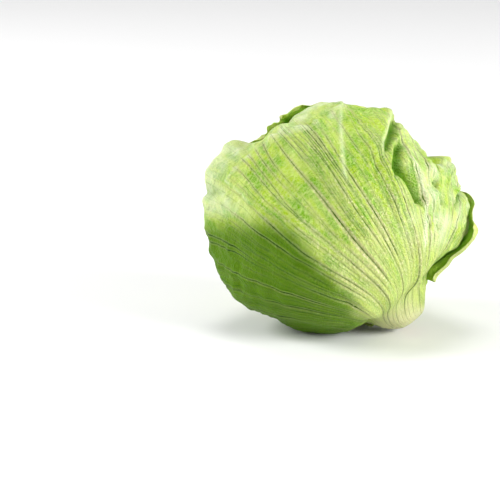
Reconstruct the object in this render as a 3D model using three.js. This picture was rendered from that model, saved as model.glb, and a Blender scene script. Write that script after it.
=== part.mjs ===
// Iceberg head lettuce lying on its side: a stem, loose wrapper leaves, packed head leaves and a heart.
// Millimetres, +Z up. The head rests on its belly and on the edge of its butt, at z = 0.
import * as THREE from 'three'

// Whole head
const headRadius = 76 // mean radius of the packed ball
const headCentre = new THREE.Vector3(-3.7, -1.72, 72.8) // puts the middle of the box over the origin
const buttLean = 39.4 // degrees between the butt end and straight down
const buttHeading = -19 // degrees from +X towards +Y that the butt points
const frontRoll = 24 // degrees round the axis from level to where phi is zero

// Butt and neck: the ball draws in to a neck, then swells at the stem
const buttSwell = { height: 9.3, width: 16 }
const neck = { angle: 23, depth: 7, width: 9 }

// Large bulges and hollows of the ball: theta from the butt, phi round the axis, in degrees
const bulges = [
  { theta: 150, phi: -87, height: 15, width: 16 }, // shoulder lobe beside the crown
  { theta: 123, phi: -93, height: 10, width: 16 },
  { theta: 93, phi: -90, height: 8, width: 20 },
  { theta: 47, phi: -110, height: 5, width: 20 }, // belly that the head lies on
  { theta: 57, phi: 90, height: 12, width: 17 }, // lobe opposite the belly
  { theta: 79, phi: 96, height: 3, width: 12 },
  { theta: 24, phi: -20, height: 4.5, width: 14 }, // ribs that fill the neck at the front
  { theta: 102, phi: 90, height: -6, width: 10 },
  { theta: 130, phi: 90, height: -5, width: 10 },
  { theta: 176, phi: -90, height: -9, width: 15 }, // flat of the crown
]

// Leaf shells
const leafPitch = 3.4 // radial room that each wrapper leaf takes
const headPitch = 3.35 // radial room that each packed leaf takes
const bladeThickness = 1
const ribThickness = 0.5 // extra thickness of the rib near the base
const stemGap = 1.1 // from the stem to the base of a leaf
const flareMiddle = 34 // degrees from the butt at which the loose edge stands off most
const flareReach = 20
const bulgeFade = 24 // depth at which the leaves no longer follow the bulges
const hollowFade = 55 // the same for the neck and the hollows
const floorShare = 0.85 // how much of its depth a pressed layer keeps above the floor

const marginSpan = 150 // degrees of the oval margin on each side of the leaf's tip

// Stem, measured along the axis from the centre of the head
const stem = {
  buttRadius: 11, waistRadius: 7, tipRadius: 5,
  buttDistance: 82.6, widestDistance: 70, waistDistance: 47, tipDistance: 17.5,
  bevel: 1.4, tipRound: 1.5, swell: 0.5,
}

// Heart bud: radius, share of it that the ripples take, and how tight they are
const heartBud = { radius: 16, ripple: 0.05, tight: 5, loose: 3 }

const radians = THREE.MathUtils.degToRad
const smooth = (low, high, x) => THREE.MathUtils.smoothstep(x, low, high)
const bell = (x, width) => Math.exp(-((x / width) ** 2))

// Axes of the head: butt points out of the stem, front faces -Y and a little up, side completes them
const lean = radians(buttLean)
const heading = radians(buttHeading)
const roll = radians(frontRoll)
const butt = new THREE.Vector3(
  Math.sin(lean) * Math.cos(heading),
  Math.sin(lean) * Math.sin(heading),
  -Math.cos(lean),
)
const level = new THREE.Vector3(Math.sin(heading), -Math.cos(heading), 0)
const front = level.applyAxisAngle(butt, -roll)
const side = new THREE.Vector3().crossVectors(front, butt)

function polarDirection(theta, phi) {
  return new THREE.Vector3()
    .addScaledVector(butt, Math.cos(theta))
    .addScaledVector(front, Math.sin(theta) * Math.cos(phi))
    .addScaledVector(side, Math.sin(theta) * Math.sin(phi))
}

const bulgeDirections = bulges.map(b => polarDirection(radians(b.theta), radians(b.phi)))

// Radius at a depth below the surface, along a direction from the centre: a ball with a butt, a neck
// and bulges. Both fade out on the way to the heart, the bulges sooner than the hollows.
function shellRadius(direction, depth) {
  const theta = THREE.MathUtils.radToDeg(direction.angleTo(butt))
  const hollowShare = Math.max(1 - depth / hollowFade, 0)
  const bulgeShare = Math.max(1 - depth / bulgeFade, 0)
  let radius = headRadius - depth
  radius += buttSwell.height * bell(theta, buttSwell.width) * hollowShare
  radius -= neck.depth * bell(theta - neck.angle, neck.width) * hollowShare
  bulges.forEach((bulge, index) => {
    const away = THREE.MathUtils.radToDeg(direction.angleTo(bulgeDirections[index]))
    radius += bulge.height * bell(away, bulge.width) * (bulge.height > 0 ? bulgeShare : hollowShare)
  })
  return radius
}

// A point of the head at a depth below its surface, kept that much above the floor
function headPoint(direction, depth, lift) {
  const point = direction.clone().multiplyScalar(shellRadius(direction, depth) + lift).add(headCentre)
  point.z = Math.max(point.z, floorShare * depth, 0)
  return point
}

// Angle from the butt at which a leaf at this radius meets the stem
function baseAngle(radius) {
  const along = smooth(stem.tipDistance, stem.widestDistance, radius)
  const stemRadius = THREE.MathUtils.lerp(stem.tipRadius + 1.5, stem.buttRadius, along)
  return Math.asin((stemRadius + stemGap) / radius)
}

// Direction at the flat leaf coordinates (across, along): turned away from the leaf's middle by the
// distance from the leaf's own origin, so that the leaf lies on the ball without shear at its middle
function leafDirection(facing, across, along) {
  const turn = Math.hypot(across, along)
  const middle = polarDirection(Math.PI / 2, facing)
  if (turn < 1e-6) return middle
  const sideways = polarDirection(Math.PI / 2, facing + Math.PI / 2)
  return middle
    .multiplyScalar(Math.cos(turn))
    .addScaledVector(sideways, (Math.sin(turn) * across) / turn)
    .addScaledVector(butt, (-Math.sin(turn) * along) / turn)
}

// Flat coordinates of a point on the stem ring, which undoes leafDirection
function ringCoordinates(theta, phi) {
  const outward = Math.sin(theta) * Math.cos(phi)
  const turn = Math.acos(outward)
  const scale = turn / Math.sin(turn)
  return { across: scale * Math.sin(theta) * Math.sin(phi), along: -scale * Math.cos(theta) }
}

// Closed shell of one leaf: rays fan from the stem ring to an oval margin and bow towards the middle
function leafGeometry(leaf) {
  const { rays, steps, depth } = leaf
  const facing = radians(leaf.facing)
  const ringAngle = baseAngle(headRadius + 5 - depth)
  const outer = []
  const inner = []
  for (let ray = 0; ray <= rays; ray++) {
    const fan = (2 * ray) / rays - 1
    const start = ringCoordinates(ringAngle, fan * radians(leaf.baseWrap))
    const marginAngle = fan * marginSpan
    const width = fan < 0 ? leaf.leftWidth : leaf.rightWidth
    const length = Math.abs(marginAngle) < 90 ? leaf.length : leaf.baseLength
    const lobe = leaf.lobeReach * bell(marginAngle - leaf.lobeAngle, leaf.lobeWidth)
    const endAcross = radians(width) * Math.sin(radians(marginAngle)) * (1 + lobe)
    const endAlong = radians(length) * Math.cos(radians(marginAngle))
    const bendAcross = 0.5 * (start.across + endAcross) * (1 - leaf.bow)
    const bendAlong = 0.5 * (start.along + endAlong) * (1 - leaf.bow)
    for (let step = 0; step <= steps; step++) {
      const t = step / steps
      const across = (1 - t) ** 2 * start.across + 2 * t * (1 - t) * bendAcross + t * t * endAcross
      const along = (1 - t) ** 2 * start.along + 2 * t * (1 - t) * bendAlong + t * t * endAlong
      const direction = leafDirection(facing, across, along)
      const theta = THREE.MathUtils.radToDeg(direction.angleTo(butt))
      const edge = smooth(0, 0.5, -fan) * smooth(0.6, 1, t)
      const lift = leaf.flare * edge * bell(theta - flareMiddle, flareReach)
      const thickness = bladeThickness + ribThickness * bell(fan, 0.3) * (1 - t)
      outer.push(headPoint(direction, depth, lift))
      inner.push(headPoint(direction, depth + thickness, lift))
    }
  }
  return shellGeometry(outer, inner, rays + 1, steps + 1)
}

// Closes two matching grids of points into one solid, with a wall round their border
function shellGeometry(outer, inner, columns, rows) {
  const positions = [...outer, ...inner].flatMap(point => point.toArray())
  const half = outer.length
  const at = (column, row) => column * rows + row
  const indices = []
  const quad = (a, b, c, d) => indices.push(a, b, c, a, c, d)
  for (let column = 0; column < columns - 1; column++) {
    for (let row = 0; row < rows - 1; row++) {
      const corners = [at(column, row), at(column + 1, row), at(column + 1, row + 1), at(column, row + 1)]
      quad(...corners)
      quad(...corners.reverse().map(corner => corner + half))
    }
  }
  const border = []
  for (let column = 0; column < columns - 1; column++) border.push(at(column, 0))
  for (let row = 0; row < rows - 1; row++) border.push(at(columns - 1, row))
  for (let column = columns - 1; column > 0; column--) border.push(at(column, rows - 1))
  for (let row = rows - 1; row > 0; row--) border.push(at(0, row))
  border.forEach((here, index) => {
    const next = border[(index + 1) % border.length]
    quad(next, here, here + half, next + half)
  })
  const geometry = new THREE.BufferGeometry()
  geometry.setAttribute('position', new THREE.Float32BufferAttribute(positions, 3))
  geometry.setIndex(indices)
  return geometry
}

// Stem: a cone of solid white tissue, cut flat at the butt with a small bevel
function stemGeometry() {
  const { buttRadius, waistRadius, tipRadius, bevel, swell } = stem
  const profile = [
    new THREE.Vector2(0, stem.tipDistance),
    new THREE.Vector2(tipRadius, stem.tipDistance + stem.tipRound),
    new THREE.Vector2(waistRadius, stem.waistDistance),
    new THREE.Vector2(buttRadius - swell, stem.widestDistance),
    new THREE.Vector2(buttRadius, stem.buttDistance - 3 * bevel),
    new THREE.Vector2(buttRadius - swell, stem.buttDistance - bevel),
    new THREE.Vector2(buttRadius - bevel, stem.buttDistance),
    new THREE.Vector2(0, stem.buttDistance),
  ]
  const geometry = new THREE.LatheGeometry(profile, 20)
  const turn = new THREE.Quaternion().setFromUnitVectors(new THREE.Vector3(0, 1, 0), butt)
  geometry.applyQuaternion(turn)
  geometry.translate(...headCentre.toArray())
  return geometry
}

// Heart bud: the smallest leaves, still folded into one ribbed ball
function budGeometry() {
  const { tight, loose } = heartBud
  const geometry = new THREE.SphereGeometry(1, 20, 12)
  const positions = geometry.getAttribute('position')
  const direction = new THREE.Vector3()
  for (let index = 0; index < positions.count; index++) {
    direction.fromBufferAttribute(positions, index).normalize()
    const ripple = Math.cos(tight * direction.x + loose * direction.y) * Math.cos(tight * direction.z)
    const radius = heartBud.radius * (1 - heartBud.ripple * (1 - ripple))
    const point = direction.multiplyScalar(radius).add(headCentre)
    positions.setXYZ(index, point.x, point.y, point.z)
  }
  return geometry
}

const leafDefaults = {
  leftWidth: 92, rightWidth: 92, length: 96, baseLength: 94, // degrees from the leaf's middle to its margin
  bow: 0.25, baseWrap: 80, flare: 0, lobeReach: 0, lobeAngle: 0, lobeWidth: 1,
}

const wrapperLeaves = [
  {
    facing: 165, leftWidth: 55, rightWidth: 60, length: 82, baseLength: 96, bow: 0.12, baseWrap: 40,
    flare: 7, lobeReach: 0.46, lobeAngle: -127, lobeWidth: 17,
  },
  { facing: 2, leftWidth: 124, rightWidth: 92, rays: 32 },
  { facing: -136, length: 94, rays: 24 },
  { facing: 85, length: 92 },
  { facing: -45 },
  { facing: 180 },
].map((leaf, index) => ({
  ...leafDefaults,
  rays: 20,
  steps: 12,
  ...leaf,
  name: `wrapper_leaf_${index + 1}`,
  depth: (index - 1) * leafPitch,
  color: [0xa9c96a, 0xb2d077, 0xa6c865, 0xadcd70, 0xb4d27a, 0xb8d580][index],
}))

const headLeafCount = 9
const goldenTurn = 137.5
const headLeaves = Array.from({ length: headLeafCount }, (_, index) => ({
  ...leafDefaults,
  name: `head_leaf_0${index + 1}`,
  facing: 42 - goldenTurn * index,
  depth: 5 * leafPitch + index * headPitch,
  baseWrap: 75,
  rays: 14,
  steps: 9,
  color: 0xc9dd8e,
}))

const heartLeafCount = 4
const heartLeaves = Array.from({ length: heartLeafCount }, (_, index) => ({
  ...leafDefaults,
  name: `heart_leaf_${index + 1}`,
  facing: -95 - goldenTurn * index,
  leftWidth: 84,
  rightWidth: 84,
  length: 90,
  baseLength: 90,
  depth: 5 * leafPitch + (headLeafCount + index) * headPitch,
  baseWrap: 78,
  rays: 12,
  steps: 8,
  color: 0xe3e58c,
}))

function leafMesh(leaf) {
  const material = new THREE.MeshStandardMaterial({ color: leaf.color, roughness: 0.45, metalness: 0 })
  const mesh = new THREE.Mesh(leafGeometry(leaf), material)
  mesh.name = leaf.name
  return mesh
}

function plainMesh(name, geometry, color) {
  const material = new THREE.MeshStandardMaterial({ color, roughness: 0.5, metalness: 0 })
  const mesh = new THREE.Mesh(geometry, material)
  mesh.name = name
  return mesh
}

const head = new THREE.Group()
wrapperLeaves.forEach(leaf => head.add(leafMesh(leaf)))
headLeaves.forEach(leaf => head.add(leafMesh(leaf)))
heartLeaves.forEach(leaf => head.add(leafMesh(leaf)))
head.add(plainMesh('core_stem', stemGeometry(), 0xe6e6b8))
head.add(plainMesh('heart_bud', budGeometry(), 0xe8e37a))

export default head
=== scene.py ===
import bpy
import numpy as np
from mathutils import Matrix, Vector


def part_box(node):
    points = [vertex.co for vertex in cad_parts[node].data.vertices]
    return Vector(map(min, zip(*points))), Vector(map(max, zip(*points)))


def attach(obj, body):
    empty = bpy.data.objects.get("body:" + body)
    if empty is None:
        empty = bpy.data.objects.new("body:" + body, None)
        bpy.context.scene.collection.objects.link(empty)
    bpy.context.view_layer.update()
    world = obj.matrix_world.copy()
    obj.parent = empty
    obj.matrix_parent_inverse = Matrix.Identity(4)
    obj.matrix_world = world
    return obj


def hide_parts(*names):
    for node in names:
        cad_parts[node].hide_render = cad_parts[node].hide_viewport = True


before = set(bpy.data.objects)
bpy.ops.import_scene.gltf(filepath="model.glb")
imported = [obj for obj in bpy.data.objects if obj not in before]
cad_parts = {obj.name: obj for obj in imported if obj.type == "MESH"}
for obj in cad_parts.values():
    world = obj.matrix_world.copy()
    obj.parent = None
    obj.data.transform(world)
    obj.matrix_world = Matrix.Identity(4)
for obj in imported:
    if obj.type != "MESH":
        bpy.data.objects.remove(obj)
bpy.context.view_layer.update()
mm = 0.001

# the ball that the leaves are packed into, as the frame has it
headForm = dict(
    radius=76.0,
    buttLean=39.4,  # degrees between the butt end and straight down
    buttHeading=-19.0,  # from +X towards +Y
    frontRoll=24.0,
    swellHeight=9.3, swellWidth=16.0,  # round the stem
    neckAngle=23.0, neckDepth=7.0, neckWidth=9.0,
    swirlWidth=22.0,  # how far from the butt the ribs wind round it
    bulgeFade=24.0, hollowFade=55.0, floorShare=0.85,
)
# theta from the butt, phi round the axis, height and width: degrees and millimetres
bulges = [
    (150, -87, 15, 16),  # left shoulder
    (123, -93, 10, 16),  # left side
    (93, -90, 8, 20),  # belly
    (47, -110, 5, 20),  # underside
    (57, 90, 12, 17),  # right side
    (79, 96, 3, 12),
    (119, 82, 1, 10),  # right of the crown
    (102, 90, -6, 10),  # dips over the right shoulder
    (130, 90, -5, 10),
    (176, -90, -8, 16),  # crown, pressed in
    (178, -90, -9, 8),
    (163, -90, 8, 6),  # lip beside it
    (24, -20, 4.5, 14),  # swollen butt
    (13.5, 92, -5.5, 4),  # notch beside the stem
    (54, 92, -3, 3.5),  # small notches at the right and at the top
    (123, 88, -3, 3.5),
    (104, 113, -6, 12),  # behind the folds, then in front of them
    (100, 68, -3.5, 9),
]
# the ring where leaves meet the stem: stem radius in the heart, what it gains outwards, and the gap round it
stemRing = dict(inner=6.5, gain=4.5, gainFrom=17.5, gainTo=70.0, gap=1.1, rise=5.0)
# the outermost leaf tucks under the next one at the butt: depth, and the theta where it starts and is whole
tuck = dict(depth=2.2, start=20.0, whole=13.0)
roomBelow = 1.5  # how far a leaf may dip towards the next one

lowBud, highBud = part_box("heart_bud")
headCentre = (np.array(lowBud) + np.array(highBud)) / 2 / mm


def turned(vector, axis, angle):
    # a vector turned about an axis: its parts along, across and square to the axis
    return (vector * np.cos(angle) + np.cross(axis, vector) * np.sin(angle)
            + axis * (vector @ axis) * (1 - np.cos(angle)))


lean = np.radians(headForm["buttLean"])
heading = np.radians(headForm["buttHeading"])
butt = np.array([np.sin(lean) * np.cos(heading), np.sin(lean) * np.sin(heading), -np.cos(lean)])
front = turned(np.array([np.sin(heading), -np.cos(heading), 0.0]), butt, -np.radians(headForm["frontRoll"]))
side = np.cross(front, butt)
rightward = np.array([1.0, 0.0, 0.0])
upward = np.cross(front, rightward)
upward = upward / np.linalg.norm(upward)
upward = upward if upward[2] > 0 else -upward


def bell(x, width):
    # 1 at the middle, falling off on both sides as exp of minus (x / width) squared
    return np.exp(-(x / width) ** 2)


def smooth(low, high, x):
    # 0 below low, 1 above high, with a soft start and end
    t = np.clip((x - low) / (high - low), 0, 1)
    return t * t * (3 - 2 * t)


def ripple(points, size, seed, waves=14):
    # a soft random field: plane waves in random directions, about one crest per size
    rng = np.random.default_rng(seed)
    turns = rng.normal(size=(points.shape[-1], waves)) * (2.2 / size)
    shift = rng.uniform(0, 2 * np.pi, waves)
    return np.sin(points @ turns + shift).sum(-1) / np.sqrt(waves / 2)


def polarDirection(theta, phi):
    # cos theta along the butt axis and sin theta square to it, phi round from the front towards the side
    around = np.cos(phi)[..., None] * front + np.sin(phi)[..., None] * side
    return np.cos(theta)[..., None] * butt + np.sin(theta)[..., None] * around


def angleTo(direction, axis):
    # degrees between two unit directions: the arc cosine of their dot product
    return np.degrees(np.arccos(np.clip(direction @ axis, -1, 1)))


frontLimit = -22.0  # lines drawn on the front end this far behind the middle, in millimetres
outOfReach = 1e3


def strokeField(points, line):
    # distance to a bent line drawn on the front of the head, the side it is on, and how far along it is
    flat = np.stack([points @ rightward, points @ upward], -1)
    corners = np.array(line, float)
    best = np.full(flat.shape[:-1], np.inf)
    sign = np.ones(flat.shape[:-1])
    share = np.zeros(flat.shape[:-1])
    lengths = np.linalg.norm(np.diff(corners, axis=0), axis=1)
    starts = np.concatenate([[0], np.cumsum(lengths)])
    for index, length in enumerate(lengths):
        start, step = corners[index], (corners[index + 1] - corners[index]) / length
        offset = flat - start
        reach = np.clip(offset @ step, 0, length)
        distance = np.linalg.norm(offset - reach[..., None] * step, axis=-1)
        closer = distance < best
        best = np.where(closer, distance, best)
        sign = np.where(closer, np.sign(step[0] * offset[..., 1] - step[1] * offset[..., 0]), sign)
        share = np.where(closer, (starts[index] + reach) / starts[-1], share)
    best = np.where(points @ front > frontLimit, best, outOfReach)
    return best, sign, share


# hollows pressed into the front of the head: line in the front view, depth and half width, and the share of
# painted shade where it isn't whole
hollows = [
    dict(line=[(35.5, 62), (32.5, 54), (28.5, 46)], depth=5.0, width=3.4),
    dict(line=[(37.5, 46), (36, 38), (33.5, 30)], depth=6.0, width=3.4),
    dict(line=[(38, 30), (43, 22), (49, 10)], depth=5.5, width=3.2),
    dict(line=[(61.5, 22), (64, 15), (67, 9)], depth=4.5, width=2.0),
    dict(line=[(82, 19), (80, 13), (78, 8)], depth=4.5, width=2.2),
    dict(line=[(56, 52), (61, 43), (65, 38)], depth=7.0, width=3.4, hollowShade=0.45),
    dict(line=[(62, -5), (64, -9)], depth=2.4, width=2.2),
    dict(line=[(55, -1), (57, -3)], depth=1.8, width=2.0),
    dict(line=[(-50, 56), (-42, 62), (-34, 66)], depth=4.5, width=6.0, hollowShade=0),
    dict(line=[(-24, -34), (-4, -47), (6, -55)], depth=2.0, width=5.0, hollowShade=0),
    dict(line=[(-86, 17), (-80, 16)], depth=2.5, width=5.0),
    dict(line=[(22, 33), (20, 27)], depth=1.5, width=3.0),
    dict(line=[(72, -24), (64, -32), (57, -40)], depth=3.0, width=4.0),
]
gentleWall, steepWall = 1.2, 0.6  # one wall of each hollow is steeper: shares of its half width
fullShadeDepth = 6.0  # a hollow this deep has its full painted shade
# raised folds on the broad front leaf, wide and narrow sides in millimetres
folds = [
    dict(line=[(36, 76), (32, 61), (28.5, 52), (25, 43), (27, 36)],
         height=3.2, left=9.0, right=1.4, pale=0.35),
    dict(line=[(37, 62), (46, 52), (52, 44)], height=0.9, left=4.0, right=3.0, pale=0.25),
    dict(line=[(53, -24), (54, -6), (54, 12), (50, 28), (42, 45)],
         height=2.2, left=3.4, right=4.0, pale=0.6),
    dict(line=[(2, 20), (0.5, 38), (0, 60), (2, 76)], height=0.8, left=2.4, right=2.4, pale=0.4),
    dict(line=[(72, 38), (82, 24), (86, 6)], height=2.0, left=4.0, right=4.0, pale=0.1),
]
crownCrease = [(-49, 2), (-60, 12), (-73, 24), (-67, 32), (-55, 42),
               (-47, 48), (-35, 56), (-19, 59), (-1, 69), (6, 78)]
# the rest of the broad front leaf: heights and widths in millimetres
frontPlan = dict(
    foldLine=1.5,
    creaseHeight=1.2, creaseWidth=1.5, creaseLine=0.9, creasePale=0.6, glow=0.5, glowWidth=4.0,
    # past the crown's crease: weaker ribs and a painted highlight
    weaker=0.8, paleHighlight=0.42, highlightRipple=0.14,
    slopeRight=0.788, slopeUp=0.616, belly=(-21.0, -36.0),  # painted shade below a slanting line
    # painted shade over the middle of the front
    middleRight=-4.0, middleUp=30.0, middleWidth=30.0, middleShade=0.22,
    crinkleRight=(28, 62), crinkleUp=(-30, 0),  # the crinkled right side starts and is whole here
    # crinkle heights, then the painted highlight over the crinkled side and its ripple
    crinkle=0.9, fineCrinkle=0.4, edgeCrinkle=0.5, crinkleHighlight=0.22, crinkleRipple=0.16,
)


def hollowField(points):
    # the sum of bells across the hollows' lines, and the same sum weighed by each hollow's share of painted
    # shade
    total, hollowShade = 0, 0
    for hollow in hollows:
        distance, sign = strokeField(points, hollow["line"])[:2]
        width = hollow["width"] * np.where(sign > 0, gentleWall, steepWall)
        part = hollow["depth"] * bell(distance, width)
        total, hollowShade = total + part, hollowShade + part * hollow.get("hollowShade", 1)
    return total, hollowShade


def shellRadius(direction, depth):
    # the ball, a swelling at the stem, a neck and the bulges, all fading towards the heart
    theta = angleTo(direction, butt)
    hollowShare = np.clip(1 - depth / headForm["hollowFade"], 0, 1)
    bulgeShare = np.clip(1 - depth / headForm["bulgeFade"], 0, 1)
    swell = headForm["swellHeight"] * bell(theta, headForm["swellWidth"])
    neck = headForm["neckDepth"] * bell(theta - headForm["neckAngle"], headForm["neckWidth"])
    radius = headForm["radius"] - depth + swell * hollowShare - neck * hollowShare
    for bulgeTheta, bulgePhi, height, width in bulges:
        middle = polarDirection(np.radians(bulgeTheta), np.radians(bulgePhi))
        share = bulgeShare if height > 0 else hollowShare
        radius = radius + height * bell(angleTo(direction, middle), width) * share
    return radius


def baseAngle(radius):
    # angle from the butt at which a leaf meets the stem: arc sine of the stem's radius over the leaf's
    grown = smooth(stemRing["gainFrom"], stemRing["gainTo"], radius)
    stemRadius = stemRing["inner"] + stemRing["gain"] * grown
    return np.arcsin((stemRadius + stemRing["gap"]) / radius)


def leafDirection(facing, across, along):
    # turned away from the leaf's middle by the distance from its own origin, so the blade isn't sheared
    turn = np.maximum(np.hypot(across, along), 1e-6)
    middle = polarDirection(np.array(np.pi / 2), np.array(facing))
    sideways = polarDirection(np.array(np.pi / 2), np.array(facing + np.pi / 2))
    return (np.cos(turn)[..., None] * middle + (np.sin(turn) * across / turn)[..., None] * sideways
            - (np.sin(turn) * along / turn)[..., None] * butt)


def ringCoordinates(theta, phi):
    # flat leaf coordinates of a point on the stem ring, which undo leafDirection
    outward = np.sin(theta) * np.cos(phi)
    turn = np.arccos(outward)
    return turn / np.sin(turn) * np.sin(theta) * np.sin(phi), -turn / np.sin(turn) * np.cos(theta)


# margin teeth and ruffles: sizes as turns round the margin, the small ones as a share of the large
marginPlan = dict(sweep=150.0, tooth=0.11, smallTooth=0.045, toothShare=0.6,
                  ruffle=0.42, smallRuffle=0.16, ruffleShare=0.5, standOff=0.7,
                  rolledFrom=0.965, crown=(140, 155))  # theta where the margin is over the crown
# creases: where each one forks, starts and ends, from 0 at the stem to 1 at the margin
ribPlan = dict(
    uneven=(0.65, 1.35), wander=0.013, waver=0.005, nearest=0.3, widest=30.0,
    forkAt=(0.35, 0.8), forkWidth=(0.2, 0.3), forkShare=0.6, forkLength=0.3,
    strength=(0.35, 1.1), startAt=(0.08, 0.32), stemStart=-0.12, startLength=0.12,
    endAt=(0.78, 1.3), endLength=0.2, patchy=0.35, minor=(-0.5, 0.9),
)


def ribCount(fan, leaf):
    # running number of ribs across the fan, unevenly spaced
    rng = np.random.default_rng(leaf["seed"])
    edges = np.cumsum(rng.uniform(*ribPlan["uneven"], leaf["ribs"] + 1))
    edges = 2 * (edges - edges[0]) / (edges[-1] - edges[0]) - 1
    return np.interp(fan, edges, np.arange(leaf["ribs"] + 1))


def leafSurface(leaf):
    # rays fan from the stem ring to an oval, toothed margin; t runs along each ray, a curve with one bend
    fan, t = np.meshgrid(np.linspace(-1, 1, leaf["rays"]), np.linspace(0, 1, leaf["steps"]), indexing="ij")
    facing = np.radians(leaf["facing"])
    ring = baseAngle(headForm["radius"] + stemRing["rise"] - leaf["depth"]) * leaf["ringShare"]
    wrap = np.radians(np.where(fan < 0, leaf["baseLeft"], leaf["baseRight"]))
    startAcross, startAlong = ringCoordinates(ring, fan * wrap)
    marginAngle = fan * np.radians(marginPlan["sweep"])
    width = np.radians(np.where(fan < 0, leaf["leftWidth"], leaf["rightWidth"]))
    marginPoints = np.stack([np.cos(marginAngle), np.sin(marginAngle)], -1)
    teeth = ripple(marginPoints, marginPlan["tooth"], leaf["seed"] + 1)
    smallTeeth = ripple(marginPoints, marginPlan["smallTooth"], leaf["seed"] + 2)
    tooth = leaf["tooth"] * (teeth + marginPlan["toothShare"] * smallTeeth)
    tooth = tooth * (0.4 + 0.6 * smooth(-0.6, 0.4, np.cos(marginAngle)))  # weaker beside the stem
    reach, rise = 0, 0
    for lobe in leaf["lobes"]:
        share = bell(np.degrees(marginAngle) - lobe["at"], lobe["width"])
        reach, rise = reach + lobe["reach"] * share, rise + lobe["rise"] * share
    length = np.radians(np.where(np.cos(marginAngle) > 0, leaf["length"], leaf["baseLength"]))
    endAcross = width * np.sin(marginAngle) * (1 + tooth + reach)
    endAlong = length * np.cos(marginAngle) * (1 + tooth + rise)
    bow = leaf["bow"] * (1 - leaf["closing"] * smooth(0.2, 0.9, fan))
    bendAcross = 0.5 * (startAcross + endAcross) * (1 - bow)
    bendAlong = 0.5 * (startAlong + endAlong) * (1 - bow)
    across = (1 - t) ** 2 * startAcross + 2 * t * (1 - t) * bendAcross + t * t * endAcross
    along = (1 - t) ** 2 * startAlong + 2 * t * (1 - t) * bendAlong + t * t * endAlong
    direction = leafDirection(facing, across, along)
    # the ribs wind a little round the butt end
    twist = np.radians(leaf["swirl"]) * bell(angleTo(direction, butt), headForm["swirlWidth"])[..., None]
    inline = (direction @ butt)[..., None] * butt
    direction = inline + (direction - inline) * np.cos(twist) + np.cross(butt, direction) * np.sin(twist)
    return fan, t, direction


def ribField(leaf, fan, t, base):
    # uneven creases along the rays: running number, spacing, fork and strength, and faint lines between
    seed, ribs = leaf["seed"], leaf["ribs"]
    run = np.stack([fan * 4, t * 1.6], -1)
    wander = ribPlan["wander"] * ripple(run, 0.8, seed + 3) * smooth(0.1, 0.5, t)
    wander = wander + ribPlan["waver"] * ripple(run * [3.0, 1.6], 0.5, seed + 9) * smooth(0.15, 0.6, t)
    phase = ribCount(np.clip(fan + wander, -1, 1), leaf)
    spread = np.linalg.norm(np.gradient(base, axis=0), axis=-1)
    spacing = spread / np.maximum(np.abs(np.gradient(phase, axis=0)), 1e-4)
    spacing = np.clip(spacing, ribPlan["nearest"], ribPlan["widest"])
    number = np.clip(phase.astype(int), 0, ribs - 1)
    rng = np.random.default_rng(seed + 4)
    forkAt = rng.uniform(*ribPlan["forkAt"], ribs)
    forkWidth = rng.uniform(*ribPlan["forkWidth"], ribs) * (rng.uniform(size=ribs) < ribPlan["forkShare"])
    main = rng.uniform(*ribPlan["strength"], ribs)
    # every third crease runs down to the stem
    startAt = np.where(np.arange(ribs) % 3 == 1, ribPlan["stemStart"], rng.uniform(*ribPlan["startAt"], ribs))
    endAt = rng.uniform(*ribPlan["endAt"], ribs)
    fork = forkWidth[number] * smooth(forkAt[number], forkAt[number] + ribPlan["forkLength"], t)
    strength = main[number] * smooth(startAt[number], startAt[number] + ribPlan["startLength"], t)
    strength = strength * (1 - smooth(endAt[number] - ribPlan["endLength"], endAt[number], t))
    patches = ripple(np.stack([number * 0.9, t * 5], -1), 1.0, seed + 10)
    strength = strength * np.clip(1.0 + ribPlan["patchy"] * patches, 0.35, 1.25)
    border = np.clip(np.round(phase).astype(int), 0, ribs - 1)
    minor = rng.uniform(*ribPlan["minor"], ribs)[border].clip(0) * smooth(0.1, 0.35, t)
    minor = minor * (1 - smooth(endAt[border] - 0.3, endAt[border] - 0.1, t))
    return phase, spacing, fork, strength, minor


def ribRelief(leaf, t, phase, spacing, fork, strength):
    # round pleats between narrow creases, 1 - exp(-distance / width), flatter towards the margin
    away = np.abs(np.abs(phase % 1 - 0.5) - fork) * spacing
    height = np.minimum(leaf["ribHeight"] * (1.2 - 0.9 * smooth(0.05, 0.8, t)), 0.5 * spacing)
    pleat = 1 - np.exp(-away / (np.maximum(0.2 * spacing, 0.35) + 0.5 * smooth(0.4, 0.1, t)))
    return strength * height * (pleat - 0.6)


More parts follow.
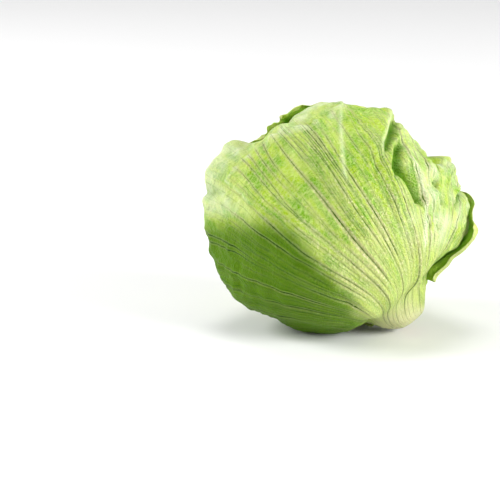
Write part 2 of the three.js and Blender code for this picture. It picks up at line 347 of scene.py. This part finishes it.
def frontRelief(plan, base, theta, t, lift, strength):
    # bells across the folds and the crown's crease, then ripples over the right side and the margin
    rightPart, upPart = base @ rightward, base @ upward
    pale = np.zeros(t.shape)
    for fold in folds:
        distance, sign, part = strokeField(base, fold["line"])
        ends = smooth(0, 0.12, part) * (1 - smooth(0.8, 1, part))
        wide = np.where(sign > 0, fold["right"], fold["left"])
        lift = lift + fold["height"] * bell(distance, wide) * ends
        pale = np.maximum(pale, fold["pale"] * bell(distance, plan["foldLine"]) * ends)
    distance, sign, part = strokeField(base, crownCrease)
    broken = np.clip(0.6 + 0.4 * ripple(base / 7, 1.0, 77), 0, 1)
    ends = smooth(0, 0.2, part)
    lift = lift + plan["creaseHeight"] * bell(distance, plan["creaseWidth"]) * broken * ends
    pale = np.maximum(pale, plan["creasePale"] * bell(distance, plan["creaseLine"]) * broken * ends)
    # a wider painted highlight along the crease's upper part
    glow = plan["glow"] * bell(distance, plan["glowWidth"]) * broken * smooth(0.45, 0.7, part)
    pale = np.maximum(pale, glow)
    # past the crease the ribs are weaker, and a painted highlight makes the blade paler
    beyond = np.where(distance < outOfReach, smooth(-0.5, 3.0, distance * sign), 0) * smooth(-4, 10, upPart)
    strength = strength * (1 - plan["weaker"] * beyond)
    paleHighlight = plan["paleHighlight"] + plan["highlightRipple"] * ripple(base / 9, 1.0, 82)
    pale = np.maximum(pale, paleHighlight * smooth(-1, 9, distance * sign) * beyond)
    # painted shade: darker green over the belly, which also has a deeper green of its own, and a little over
    # the middle of the leaf
    lower = plan["slopeRight"] * rightPart + plan["slopeUp"] * upPart + 2 * ripple(base / 14, 1.0, 78)
    paintedShade = smooth(*plan["belly"], lower) * smooth(17, 27, theta) * smooth(6, -14, upPart)
    fromMiddle = np.hypot(rightPart - plan["middleRight"], upPart - plan["middleUp"])
    middle = plan["middleShade"] * bell(fromMiddle, plan["middleWidth"]) * (base @ front > 0)
    paintedShade = np.maximum(paintedShade, middle)
    crinkled = smooth(*plan["crinkleRight"], rightPart) * smooth(*plan["crinkleUp"], upPart)
    # a painted highlight over the crinkled right side
    crinkleHighlight = plan["crinkleHighlight"] + plan["crinkleRipple"] * ripple(base / 8, 1.0, 83)
    pale = np.maximum(pale, crinkled * crinkleHighlight)
    crinkles = plan["crinkle"] * ripple(base / 6.5, 1.0, 79) + plan["fineCrinkle"] * ripple(base / 3, 1.0, 80)
    lift = lift + crinkled * crinkles
    lift = lift + plan["edgeCrinkle"] * ripple(base / 5, 1.0, 81) * smooth(0.5, 0.8, t)
    return lift, strength, pale, paintedShade


def marginRelief(leaf, plan, fan, t, theta, lift):
    # the end of each ray stands off in ruffles and flares, and its last edge rolls back in
    rim = smooth(leaf["rimStart"], 1, t)
    marginRun = np.stack([np.cos(fan * 2.6) * 2, np.sin(fan * 2.6) * 2], -1)
    ruffle = ripple(marginRun, plan["ruffle"], leaf["seed"] + 7)
    ruffle = ruffle + plan["ruffleShare"] * ripple(marginRun, plan["smallRuffle"], leaf["seed"] + 8)
    lift = lift + rim ** 2 * leaf["ruffle"] * (plan["standOff"] + ruffle)
    for flareSide, stations in leaf["flares"]:
        height = np.interp(theta, *np.array(stations, float).T)
        height = height * (smooth(0, 0.3, flareSide * fan) if flareSide else 1)
        height = height * (0.6 + 0.4 * smooth(1, 0.96, np.abs(fan)))
        lift = lift + height * rim
        rolled = smooth(2, 4, height) * smooth(plan["rolledFrom"], 1, t) * smooth(110, 80, theta)
        lift = lift - leaf["roll"] * rolled
    return lift, rim


def buildLeaf(name, leaf, material):
    # the outer face is the head's surface plus the relief, the inner face is one thickness below it
    leaf = dict(leafPlan, **leaf)
    fan, t, direction = leafSurface(leaf)
    theta = angleTo(direction, butt)
    tucked = smooth(tuck["start"], tuck["whole"], theta) if leaf["depth"] < 0 else 0
    depth = leaf["depth"] * (1 - tucked) + tuck["depth"] * tucked
    radius = shellRadius(direction, depth)
    hollow, hollowShade = hollowField(direction * radius[..., None])
    radius = radius - hollow * np.clip(1 - depth / headForm["hollowFade"], 0, 1)
    base = direction * radius[..., None]
    phase, spacing, fork, strength, minor = ribField(leaf, fan, t, base)
    # broad folds run out along the ribs, small puckers lie between them
    foldRun = np.stack([phase * 0.3, t * 2.4], -1)
    lift = leaf["fold"] * ripple(foldRun, 0.8, leaf["seed"] + 5) * smooth(0.04, 0.3, t) * (1.3 - 0.8 * t)
    lift = lift + leaf["pucker"] * ripple(base / 9, 1.0, leaf["seed"] + 6) * smooth(0.2, 0.6, t)
    pale, paintedShade = np.zeros(fan.shape), np.zeros(fan.shape)
    if leaf["frontDetail"]:
        lift, strength, pale, paintedShade = frontRelief(frontPlan, base, theta, t, lift, strength)
    lift = lift + ribRelief(leaf, t, phase, spacing, fork, strength)
    # neighbouring leaves keep clear of each other
    room = np.where(lift > 0, leaf["room"], roomBelow)
    lift = room * np.tanh(lift / room)
    lift, rim = marginRelief(leaf, marginPlan, fan, t, theta, lift)
    # painted shade on the margin where it lies over the crown
    paintedShade = np.maximum(paintedShade, leaf["crownShade"] * rim * smooth(*marginPlan["crown"], theta))
    outerRadius = radius + lift
    thickness = leaf["thickness"] * (1 + 0.8 * (1 - t) - 0.45 * smooth(0.9, 1, t))  # thick ribs, thin margin
    outer = direction * outerRadius[..., None] + headCentre
    inner = direction * (outerRadius - thickness)[..., None] + headCentre
    floorHeight = np.maximum(headForm["floorShare"] * depth, 0)
    outer[..., 2] = np.maximum(outer[..., 2], floorHeight)
    inner[..., 2] = np.maximum(inner[..., 2], floorHeight + leaf["thickness"])
    marks = dict(ribPhase=phase, along=t, ribSpacing=spacing, ribFork=fork, ribStrength=strength,
                 ribMinor=minor, pale=pale, hollow=hollowShade / fullShadeDepth, paintedShade=paintedShade)
    return shellPiece(name, outer, inner, marks, material)


def shellPiece(name, outer, inner, marks, material):
    # two matching grids closed by a wall round their border
    columns, rows = outer.shape[:2]
    index = np.arange(columns * rows).reshape(columns, rows)
    a, b, c, d = index[:-1, :-1], index[1:, :-1], index[1:, 1:], index[:-1, 1:]
    quads = np.stack([a, b, c, d], -1).reshape(-1, 4)
    loop = np.concatenate([index[:-1, 0], index[-1, :-1], index[:0:-1, -1], index[0, :0:-1]])
    after = np.roll(loop, -1)
    half = columns * rows
    wall = np.stack([after, loop, loop + half, after + half], -1)
    faces = np.concatenate([quads, quads[:, ::-1] + half, wall])
    vertices = np.concatenate([outer.reshape(-1, 3), inner.reshape(-1, 3)]) * mm
    mesh = bpy.data.meshes.new(name)
    mesh.vertices.add(len(vertices))
    mesh.vertices.foreach_set("co", vertices.astype(np.float32).ravel())
    mesh.loops.add(faces.size)
    mesh.loops.foreach_set("vertex_index", faces.astype(np.int32).ravel())
    mesh.polygons.add(len(faces))
    mesh.polygons.foreach_set("loop_start", np.arange(0, faces.size, 4, dtype=np.int32))
    mesh.update(calc_edges=True)
    for key, values in marks.items():
        both = np.concatenate([values.ravel(), values.ravel()]).astype(np.float32)
        mesh.attributes.new(key, "FLOAT", "POINT").data.foreach_set("value", both)
    inside = np.concatenate([np.zeros(half), np.ones(half)]).astype(np.float32)
    mesh.attributes.new("inside", "FLOAT", "POINT").data.foreach_set("value", inside)
    mesh.polygons.foreach_set("use_smooth", np.ones(len(faces), dtype=bool))
    mesh.validate()
    piece = bpy.data.objects.new(name, mesh)
    bpy.context.collection.objects.link(piece)
    mesh.materials.append(material)
    return piece


def newNode(tree, kind, **settings):
    # a shader node with its settings
    node = tree.nodes.new(kind)
    for key, value in settings.items():
        setattr(node, key, value)
    return node


def feed(tree, node, socket, value):
    # another node's output is linked in, a plain value is set
    if isinstance(value, bpy.types.NodeSocket):
        tree.links.new(value, node.inputs[socket])
    else:
        node.inputs[socket].default_value = value


def calc(tree, operation, first, second=0.0, third=None):
    # one sum on values or sockets
    node = newNode(tree, "ShaderNodeMath", operation=operation)
    feed(tree, node, 0, first)
    feed(tree, node, 1, second)
    if third is not None:
        feed(tree, node, 2, third)
    return node.outputs[0]


def fade(tree, value, low, high, start=0.0, end=1.0):
    # a soft step from start at low to end at high
    node = newNode(tree, "ShaderNodeMapRange", interpolation_type="SMOOTHSTEP")
    for socket, entry in enumerate((value, low, high, start, end)):
        feed(tree, node, socket, entry)
    return node.outputs[0]


def blendColours(tree, share, first, second, way="MIX"):
    # first at share 0, second at share 1, or first times second
    node = newNode(tree, "ShaderNodeMix", data_type="RGBA", blend_type=way)
    feed(tree, node, 0, share)
    feed(tree, node, 6, first)
    feed(tree, node, 7, second)
    return node.outputs[2]


def mark(tree, key):
    # a value that the mesh carries at its points
    return newNode(tree, "ShaderNodeAttribute", attribute_name=key).outputs["Fac"]


def rgb(red, green, blue):
    # display colour, 0 to 255, as a linear shader colour
    share = np.array([red, green, blue]) / 255
    linear = np.where(share <= 0.04045, share / 12.92, ((share + 0.055) / 1.055) ** 2.4)
    return (*[float(part) for part in linear], 1.0)


def noiseAt(tree, vector, scale, detail=2.0):
    # soft noise, scale crests for each unit of the vector
    node = newNode(tree, "ShaderNodeTexNoise")
    feed(tree, node, "Vector", vector)
    node.inputs["Scale"].default_value = scale
    node.inputs["Detail"].default_value = detail
    return node


def runNoise(tree, phase, along, perRib, perLeaf, scale, detail):
    # noise on the leaf's own coordinates: the rib number and the way from stem to margin, each stretched
    run = newNode(tree, "ShaderNodeCombineXYZ")
    feed(tree, run, 0, calc(tree, "MULTIPLY", phase, perRib))
    feed(tree, run, 1, calc(tree, "MULTIPLY", along, perLeaf))
    return noiseAt(tree, run.outputs[0], scale, detail).outputs["Fac"]


# colours of the outer leaves, widths in millimetres, noise scales in crests per metre
leafFinish = dict(
    blade=rgb(164, 196, 40), bladeDeep=rgb(104, 164, 0), bladeLight=rgb(214, 230, 140),
    # rib and cream are the leaf's own; the whitish last colour here paints pale lines and highlight
    rib=rgb(192, 194, 134), cream=rgb(218, 218, 166), paleHighlight=rgb(234, 244, 206),
    # the darks here, all but the inner face's green, paint shade: in the creases, over the belly, middle and
    # crown margin, and in the hollows
    grooveShade=rgb(118, 168, 36), paintedShade=rgb(84, 124, 0), hollow=rgb(76, 128, 2), inner=rgb(170, 206, 70),
    creaseEdge=0.08, creaseThin=0.22, creaseWide=0.44, minorWidth=0.4, softWidth=1.5,
    creaseStray=0.7, strayScale=420, breakScale=75,
    # the share of painted glints, and the scale of the flecks that place them and bump the ribs
    ribWidth=3.8, ribWidthEnd=1.7, glint=0.8, beadScale=560,
    patch=0.95, patchShape=(0.9, 9.0, 1.3, 3), crossLine=0.34, crossShape=(2.2, 120.0, 1.0, 2),
    vein=0.34, fineVein=0.6, veinNets=((300, 0.13), (700, 0.16)), veinDrift=0.003, driftScale=200,
    mottle=0.45, mottleScale=42,
    bumpStrength=0.9, bumpDistance=0.001,
    roughness=0.45, specular=0.08, scatter=0.2, scatterRadius=(0.5, 1.0, 0.2), scatterScale=0.003,
)


def creaseNodes(tree, finish, position, phase, along, spacing):
    # distance from a crease: |fraction of phase - 0.5| less its fork, times the spacing
    fork, strength = mark(tree, "ribFork"), mark(tree, "ribStrength")
    offset = calc(tree, "ABSOLUTE", calc(tree, "SUBTRACT", calc(tree, "FRACT", phase), 0.5))
    stray = calc(tree, "SUBTRACT", noiseAt(tree, position, finish["strayScale"], 3).outputs["Fac"], 0.5)
    away = calc(tree, "MULTIPLY", calc(tree, "SUBTRACT", offset, fork), spacing)
    away = calc(tree, "MULTIPLY_ADD", stray, finish["creaseStray"], calc(tree, "ABSOLUTE", away))
    away = calc(tree, "ABSOLUTE", away)
    wide = fade(tree, spacing, 1.2, 6.0, finish["creaseThin"], finish["creaseWide"])
    crease = calc(tree, "MULTIPLY", fade(tree, away, finish["creaseEdge"], wide, 1.0, 0.0), strength)
    # fainter lines half way between them
    minorAway = calc(tree, "MULTIPLY", calc(tree, "SUBTRACT", 0.5, offset), spacing)
    minorAway = calc(tree, "MULTIPLY_ADD", stray, finish["creaseStray"], minorAway)
    minor = fade(tree, minorAway, finish["creaseEdge"], finish["minorWidth"], 1.0, 0.0)
    crease = calc(tree, "MAXIMUM", crease, calc(tree, "MULTIPLY", minor, mark(tree, "ribMinor")))
    broken = fade(tree, noiseAt(tree, position, finish["breakScale"]).outputs["Fac"], 0.36, 0.6)
    crease = calc(tree, "MULTIPLY", crease, calc(tree, "MULTIPLY_ADD", broken, 0.65, 0.35))
    # the pale rib on both sides of a crease, and the painted soft shadow beside it
    ribWidth = fade(tree, along, 0.2, 0.8, finish["ribWidth"], finish["ribWidthEnd"])
    band = calc(tree, "MULTIPLY", fade(tree, away, 0.5, ribWidth, 1.0, 0.0), strength)
    soft = calc(tree, "MULTIPLY", fade(tree, away, 0.1, finish["softWidth"], 1.0, 0.0), strength)
    return crease, band, soft


def veinNodes(tree, finish, position, along):
    # fine net of veins: the edges of two sizes of cell, in a slightly shaken position
    shaken = newNode(tree, "ShaderNodeVectorMath", operation="MULTIPLY_ADD")
    feed(tree, shaken, 0, noiseAt(tree, position, finish["driftScale"]).outputs["Color"])
    shaken.inputs[1].default_value = (finish["veinDrift"],) * 3
    feed(tree, shaken, 2, position)
    nets = []
    for scale, line in finish["veinNets"]:
        cells = newNode(tree, "ShaderNodeTexVoronoi", feature="DISTANCE_TO_EDGE")
        feed(tree, cells, "Vector", shaken.outputs[0])
        cells.inputs["Scale"].default_value = scale
        nets.append(fade(tree, cells.outputs["Distance"], 0.0, line, 1.0, 0.0))
    net = calc(tree, "MAXIMUM", nets[0], calc(tree, "MULTIPLY", nets[1], finish["fineVein"]))
    return calc(tree, "MULTIPLY", net, fade(tree, along, 0.12, 0.5))


def leafMaterial(name, finish):
    # layers of colour by the marks on the mesh and by noise, a bump for veins and creases, soft scatter
    material = bpy.data.materials.new(name)
    material.use_nodes = True
    tree = material.node_tree
    tree.nodes.clear()
    position = newNode(tree, "ShaderNodeTexCoord").outputs["Object"]
    phase, along, spacing = mark(tree, "ribPhase"), mark(tree, "along"), mark(tree, "ribSpacing")
    paintedShade = mark(tree, "paintedShade")
    crease, band, soft = creaseNodes(tree, finish, position, phase, along, spacing)
    net = veinNodes(tree, finish, position, along)
    # patches drawn out along the leaf, and cross ripples between the creases
    patch = fade(tree, runNoise(tree, phase, along, *finish["patchShape"]), 0.42, 0.58)
    crossLine = fade(tree, runNoise(tree, phase, along, *finish["crossShape"]), 0.44, 0.62)
    mottle = noiseAt(tree, position, finish["mottleScale"], 4).outputs["Fac"]
    fleck = noiseAt(tree, position, finish["beadScale"]).outputs["Fac"]
    ribShare = calc(tree, "MULTIPLY", band, fade(tree, mottle, 0.3, 0.6, 0.45, 0.95))
    paintedGlints = calc(tree, "MULTIPLY", band, fade(tree, fleck, 0.54, 0.64))
    shadeShare = calc(tree, "MULTIPLY", paintedShade, calc(tree, "MULTIPLY_ADD", band, -0.3, 0.98))
    softShare = calc(tree, "MULTIPLY_ADD", paintedShade, 0.4, fade(tree, along, 0.1, 0.3, 0.7, 0.3))
    creaseShare = calc(tree, "MULTIPLY", crease, fade(tree, along, 0.02, 0.4, 0.45, 1.0))
    # share, colour and way of blending of each layer, over the ones before it
    layers = [
        (calc(tree, "MULTIPLY", patch, finish["patch"]), "bladeDeep", "MIX"),
        (fade(tree, mottle, 0.42, 0.7, 0.0, finish["mottle"]), "bladeLight", "MIX"),
        (calc(tree, "MULTIPLY", net, finish["vein"]), "bladeLight", "MIX"),
        (calc(tree, "MULTIPLY", crossLine, finish["crossLine"]), "bladeLight", "MIX"),
        (fade(tree, along, 0.5, 0.12, 0.0, 0.5), "rib", "MIX"),  # towards the stem
        (ribShare, "rib", "MIX"),
        # painted glints on the pale ribs
        (calc(tree, "MULTIPLY", paintedGlints, finish["glint"]), "cream", "MIX"),
        # painted shade over the belly, the middle and the crown's margin
        (shadeShare, "paintedShade", "MIX"),
        # painted soft shadow beside the creases, deeper where the painted shade lies
        (calc(tree, "MULTIPLY", soft, softShare), "grooveShade", "MULTIPLY"),
        (mark(tree, "inside"), "inner", "MIX"),
        (fade(tree, along, 0.14, 0.03, 0.0, 0.85), "cream", "MIX"),  # at the stem itself
        # pale lines on the folds and crease, and painted highlight over the upper left limb and the right
        # side
        (mark(tree, "pale"), "paleHighlight", "MIX"),
        # painted shade in the creases
        (creaseShare, "grooveShade", "MULTIPLY"),
        # painted shade in the hollows
        (fade(tree, mark(tree, "hollow"), 0.1, 0.9, 0.0, 0.9), "hollow", "MIX"),
        (fade(tree, along, 0.955, 0.985, 0.0, 0.8), "bladeLight", "MIX"),  # the thin margin
    ]
    colour = finish["blade"]
    for share, layer, way in layers:
        colour = blendColours(tree, share, colour, finish[layer], way)
    height = calc(tree, "ADD", calc(tree, "MULTIPLY", net, 0.5), calc(tree, "MULTIPLY", crossLine, 0.5))
    height = calc(tree, "SUBTRACT", height, calc(tree, "MULTIPLY", crease, 0.6))
    height = calc(tree, "MULTIPLY_ADD", fleck, 0.5, height)
    roughness = fade(tree, mottle, 0.3, 0.7, finish["roughness"] - 0.06, finish["roughness"] + 0.08)
    shader = newNode(tree, "ShaderNodeBsdfPrincipled")
    output = newNode(tree, "ShaderNodeOutputMaterial")
    tree.links.new(shader.outputs[0], output.inputs["Surface"])
    feed(tree, shader, "Roughness", roughness)
    finishShader(tree, shader, finish, colour, height)
    return material


def finishShader(tree, shader, finish, colour, height):
    # colour, bump and the soft glow below the surface, the same way for leaves and stem
    bump = newNode(tree, "ShaderNodeBump")
    bump.inputs["Strength"].default_value = finish["bumpStrength"]
    bump.inputs["Distance"].default_value = finish["bumpDistance"]
    feed(tree, bump, "Height", height)
    feed(tree, shader, "Base Color", colour)
    feed(tree, shader, "Normal", bump.outputs[0])
    shader.inputs["Subsurface Weight"].default_value = finish["scatter"]
    shader.inputs["Subsurface Radius"].default_value = finish["scatterRadius"]
    shader.inputs["Subsurface Scale"].default_value = finish["scatterScale"]
    shader.inputs["Specular IOR Level"].default_value = finish["specular"]


# one leaf as a maker would change it: degrees across and along, millimetres for heights
leafPlan = dict(
    facing=0, leftWidth=92, rightWidth=92, length=94, baseLength=94, bow=0.25, closing=0, depth=0.0,
    baseLeft=80, baseRight=80, ringShare=1.0, swirl=58,
    rays=120, steps=110, ribs=26, ribHeight=1.5, seed=1,
    tooth=0.012, lobes=[], fold=1.0, pucker=0.45, room=1.2, thickness=0.7,
    ruffle=0.45, rimStart=0.82, flares=[], roll=0.0, frontDetail=False, crownShade=0,
)
# lobe places in degrees round the margin; flares as a side, or 0 for both, and (theta, height) stations
wrapperLeaves = [
    dict(facing=165, leftWidth=55, rightWidth=60, length=80, baseLength=93, bow=0.12,
         baseLeft=68, baseRight=68, ringShare=0.7, swirl=0,
         ruffle=1.2, crownShade=0.8, tooth=0.01, rimStart=0.84, roll=3.0,
         lobes=[dict(at=-127, width=17, reach=0.46, rise=0), dict(at=-14, width=5, reach=0, rise=0.12)],
         flares=[(-1, [(12, 0), (16, 4), (22, 7), (31, 5.5), (38, 4.5), (43, 5), (48, 6), (50, 4), (52, 0)]),
                 (0, [(158, 0), (163, 2), (168, 4), (171, 7.5), (173, 3), (175, 0), (180, 0)])],
         rays=260, steps=180, ribs=40),
    dict(facing=2, leftWidth=124, rightWidth=92, length=98, baseLeft=100, baseRight=158, ringShare=0.7,
         closing=1.5, rays=400, steps=122, ribs=62, room=5.0, ruffle=0.8, fold=1.7, frontDetail=True,
         flares=[(1, [(68, 0), (78, 2.2), (82, 5.5), (84, 5.5), (86, 2.5), (88, 0)])]),
    dict(facing=-136, rays=220, steps=150, ribs=40, ruffle=0.3, room=0.7),
    dict(facing=85, rays=150, steps=140),
    dict(facing=-45, length=96, rays=120, steps=110),
    dict(facing=180, length=96, rays=120, steps=110),
]
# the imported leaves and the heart's leaves, each turned from the one outside it
headPlan = dict(length=96, rays=60, steps=50, ribs=18, ruffle=0, swirl=0, fold=0.3, pucker=0.2, thickness=0.8)
heartPlan = dict(length=90, leftWidth=84, rightWidth=84, rays=50, steps=40, ribs=12, ruffle=0, swirl=0,
                 fold=0.2, pucker=0.15, thickness=0.8)
packing = dict(wrapperPitch=3.4, pitch=3.35, turn=137.5,
               headLeaves=9, heartLeaves=4, firstHead=42, firstHeart=-95)

headFinish = dict(leafFinish, blade=rgb(206, 222, 140), bladeDeep=rgb(186, 210, 110))
heartFinish = dict(leafFinish, blade=rgb(232, 228, 130), bladeDeep=rgb(220, 214, 90))
wrapperMaterial = leafMaterial("wrapperLeaf", leafFinish)
headMaterial = leafMaterial("headLeaf", headFinish)
heartMaterial = leafMaterial("heartLeaf", heartFinish)


def place(piece, node):
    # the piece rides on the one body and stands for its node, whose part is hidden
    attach(piece, "root")
    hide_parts(node)


for number, leaf in enumerate(wrapperLeaves):
    node = "wrapper_leaf_%d" % (number + 1)
    plan = dict(leaf, depth=(number - 1) * packing["wrapperPitch"], seed=11 + 20 * number)
    place(buildLeaf("wrapperLeaf%d" % (number + 1), plan, wrapperMaterial), node)
    print("built", node)

headDepth = 5 * packing["wrapperPitch"]
for number in range(packing["headLeaves"]):
    plan = dict(headPlan, facing=packing["firstHead"] - packing["turn"] * number,
                depth=headDepth + number * packing["pitch"], seed=201 + number)
    piece = buildLeaf("headLeaf%d" % (number + 1), plan, headMaterial)
    place(piece, "head_leaf_0%d" % (number + 1))
for number in range(packing["heartLeaves"]):
    plan = dict(heartPlan, facing=packing["firstHeart"] - packing["turn"] * number,
                depth=headDepth + (packing["headLeaves"] + number) * packing["pitch"], seed=301 + number)
    piece = buildLeaf("heartLeaf%d" % (number + 1), plan, heartMaterial)
    place(piece, "heart_leaf_%d" % (number + 1))
print("built the packed leaves")

# radius and height of the stem along the butt axis, and the heart's bud, in millimetres
stemPlan = dict(
    profile=[(0, 17.5), (5, 19), (7, 47), (9.6, 70), (9.6, 77),
             (9.0, 79.2), (8.0, 80.3), (7.2, 80.6), (0, 80.4)],
    turns=96, steps=90, rings=0.12,
)
budPlan = dict(radius=15.2, turns=180, steps=120, ripple=1.1)


def closedForm(name, points, marks, material):
    # a grid that is joined round its turns and drawn to a point at both ends
    columns, rows = points.shape[:2]
    index = np.arange(columns * rows).reshape(columns, rows)
    after = np.roll(index, -1, axis=0)
    quads = np.stack([index[:, :-1], after[:, :-1], after[:, 1:], index[:, 1:]], -1).reshape(-1, 4)
    mesh = bpy.data.meshes.new(name)
    mesh.from_pydata((points.reshape(-1, 3) * mm).tolist(), [], quads.tolist())
    for key, values in marks.items():
        values = values.astype(np.float32).ravel()
        mesh.attributes.new(key, "FLOAT", "POINT").data.foreach_set("value", values)
    mesh.polygons.foreach_set("use_smooth", np.ones(len(quads), dtype=bool))
    piece = bpy.data.objects.new(name, mesh)
    bpy.context.collection.objects.link(piece)
    mesh.materials.append(material)
    return piece


def buildStem(plan, material):
    # the profile turned about the butt axis, a little out of round, the cut end faintly ringed
    corners = np.array(plan["profile"], float)
    lengths = np.concatenate([[0], np.cumsum(np.linalg.norm(np.diff(corners, axis=0), axis=1))])
    turn, run = np.meshgrid(np.linspace(0, 2 * np.pi, plan["turns"], endpoint=False),
                            np.linspace(0, lengths[-1], plan["steps"]), indexing="ij")
    radius, height = np.interp(run, lengths, corners[:, 0]), np.interp(run, lengths, corners[:, 1])
    radius = np.maximum(radius * (1 + 0.03 * np.sin(3 * turn) + 0.02 * np.sin(7 * turn + 1)), 0.02)
    cut = smooth(lengths[-3], lengths[-2], run)
    height = height + plan["rings"] * np.sin(radius * 4) * cut
    around = np.cos(turn)[..., None] * front + np.sin(turn)[..., None] * side
    points = headCentre + height[..., None] * butt + radius[..., None] * around
    return closedForm("coreStem", points, dict(cut=cut, fromMiddle=radius), material)


def buildBud(plan, material):
    # a ball whose surface ripples where the smallest leaves overlap
    turn, lean = np.meshgrid(np.linspace(0, 2 * np.pi, plan["turns"], endpoint=False),
                             np.linspace(np.pi - 0.01, 0.01, plan["steps"]), indexing="ij")
    direction = polarDirection(lean, turn)
    ridge = np.abs(np.sin(2.5 * turn + 3 * lean + 0.5 * ripple(direction * 3, 1.0, 501)))
    relief = 0.25 * ripple(direction * 4, 1.0, 502) - 0.6 * (1 - ridge) ** 2
    radius = plan["radius"] + plan["ripple"] * relief
    points = headCentre + direction * radius[..., None]
    return closedForm("heartBud", points, dict(along=0.5 + 0 * turn), material)


stemFinish = dict(
    flesh=rgb(236, 234, 190), fleshDeep=rgb(222, 222, 160), rust=rgb(206, 170, 112), rim=rgb(168, 118, 62),
    blotchScale=260, fibreScale=1400, rimFrom=4.2, rimTo=6.0,
    bumpStrength=0.5, bumpDistance=0.0005,
    roughness=0.55, specular=0.3, scatter=0.2, scatterRadius=(1.0, 0.9, 0.5), scatterScale=0.003,
)


def stemMaterial(name, finish):
    # pale flesh in soft blotches, and a cut that has dried to a pale rust, darkest towards its rim
    material = bpy.data.materials.new(name)
    material.use_nodes = True
    tree = material.node_tree
    shader = tree.nodes["Principled BSDF"]
    position = newNode(tree, "ShaderNodeTexCoord").outputs["Object"]
    blotch = noiseAt(tree, position, finish["blotchScale"], 4).outputs["Fac"]
    fibre = noiseAt(tree, position, finish["fibreScale"]).outputs["Fac"]
    cut = mark(tree, "cut")
    colour = blendColours(tree, blotch, finish["flesh"], finish["fleshDeep"])
    rust = calc(tree, "MULTIPLY", cut, fade(tree, blotch, 0.35, 0.65, 0.35, 0.8))
    colour = blendColours(tree, rust, colour, finish["rust"])
    rim = fade(tree, mark(tree, "fromMiddle"), finish["rimFrom"], finish["rimTo"], 0.0, 0.6)
    colour = blendColours(tree, calc(tree, "MULTIPLY", cut, rim), colour, finish["rim"])
    shader.inputs["Roughness"].default_value = finish["roughness"]
    height = calc(tree, "ADD", blotch, calc(tree, "MULTIPLY", fibre, 0.5))
    finishShader(tree, shader, finish, colour, height)
    return material


place(buildStem(stemPlan, stemMaterial("stemFlesh", stemFinish)), "core_stem")
place(buildBud(budPlan, heartMaterial), "heart_bud")
print("built the stem and the bud")

# camera: degrees, metres, and the aim in millimetres from the middle of the head
cameraPlan = dict(elevation=15.0, distance=1.05, lens=114.5, aimRight=-57.0, aimUp=-21.0)
# lights: places and sizes in metres, power in watts, sky strength from the horizon up
studioPlan = dict(
    sunStrength=0.95, sunWidth=24.0, sunTurn=(-15.0, -3.0),
    softboxes=[("rightLight", (2.2, -1.2, 1.1), 94), ("leftLight", (-2.1, 0.1, 1.4), 56)],
    softboxSize=1.4, softboxAim=(0, 0, 0.07),
    skyFrom=0.1, skyTo=0.45, horizon=0.8, overhead=0.34,
    floorSize=12, floorMiddle=(0, 3, -0.0002), floorGrey=0.86, floorRoughness=0.7, exposure=-0.02,
)


def addCamera(plan):
    # a level camera on a line that rises from the aim at the elevation, towards -Y
    elevation = np.radians(plan["elevation"])
    aim = (headCentre + plan["aimRight"] * rightward + plan["aimUp"] * upward) * mm
    away = np.array([0, -np.cos(elevation), np.sin(elevation)]) * plan["distance"]
    data = bpy.data.cameras.new("camera")
    data.lens = plan["lens"]
    camera = bpy.data.objects.new("camera", data)
    camera.location = aim + away
    camera.rotation_euler = (np.pi / 2 - elevation, 0, 0)
    bpy.context.collection.objects.link(camera)
    bpy.context.scene.camera = camera


def addSun(plan):
    # soft light from above
    data = bpy.data.lights.new("overheadLight", "SUN")
    data.energy = plan["sunStrength"]
    data.angle = np.radians(plan["sunWidth"])
    sun = bpy.data.objects.new("overheadLight", data)
    sun.rotation_euler = (*np.radians(plan["sunTurn"]), 0)
    bpy.context.collection.objects.link(sun)


def addSoftbox(plan, name, location, power):
    # a round lamp turned towards the aim
    data = bpy.data.lights.new(name, "AREA")
    data.shape = "DISK"
    data.size = plan["softboxSize"]
    data.energy = power
    lamp = bpy.data.objects.new(name, data)
    lamp.location = location
    toward = np.array(plan["softboxAim"]) - np.array(location)
    lamp.rotation_euler = Vector(toward).to_track_quat("-Z", "Y").to_euler()
    bpy.context.collection.objects.link(lamp)


def addSky(plan):
    # white all round, brightest near the horizon as in a white studio
    world = bpy.data.worlds.new("studio")
    bpy.context.scene.world = world
    world.use_nodes = True
    sky = world.node_tree
    background = sky.nodes["Background"]
    background.inputs["Color"].default_value = (1, 1, 1, 1)
    height = newNode(sky, "ShaderNodeSeparateXYZ")
    feed(sky, height, 0, newNode(sky, "ShaderNodeTexCoord").outputs["Generated"])
    strength = fade(sky, height.outputs[2], plan["skyFrom"], plan["skyTo"], plan["horizon"], plan["overhead"])
    feed(sky, background, "Strength", strength)


def addFloor(plan):
    # a plain pale plane just under the head
    bpy.ops.mesh.primitive_plane_add(size=plan["floorSize"], location=plan["floorMiddle"])
    floor = bpy.context.object
    floor.name = "floor"
    material = bpy.data.materials.new("paleFloor")
    material.use_nodes = True
    shader = material.node_tree.nodes["Principled BSDF"]
    shader.inputs["Base Color"].default_value = (*[plan["floorGrey"]] * 3, 1)
    shader.inputs["Roughness"].default_value = plan["floorRoughness"]
    floor.data.materials.append(material)


addCamera(cameraPlan)
addSun(studioPlan)
for softbox in studioPlan["softboxes"]:
    addSoftbox(studioPlan, *softbox)
addSky(studioPlan)
addFloor(studioPlan)
view = bpy.context.scene.view_settings
view.view_transform = "Standard"
view.exposure = studioPlan["exposure"]
print("placed the camera, the lights and the floor")
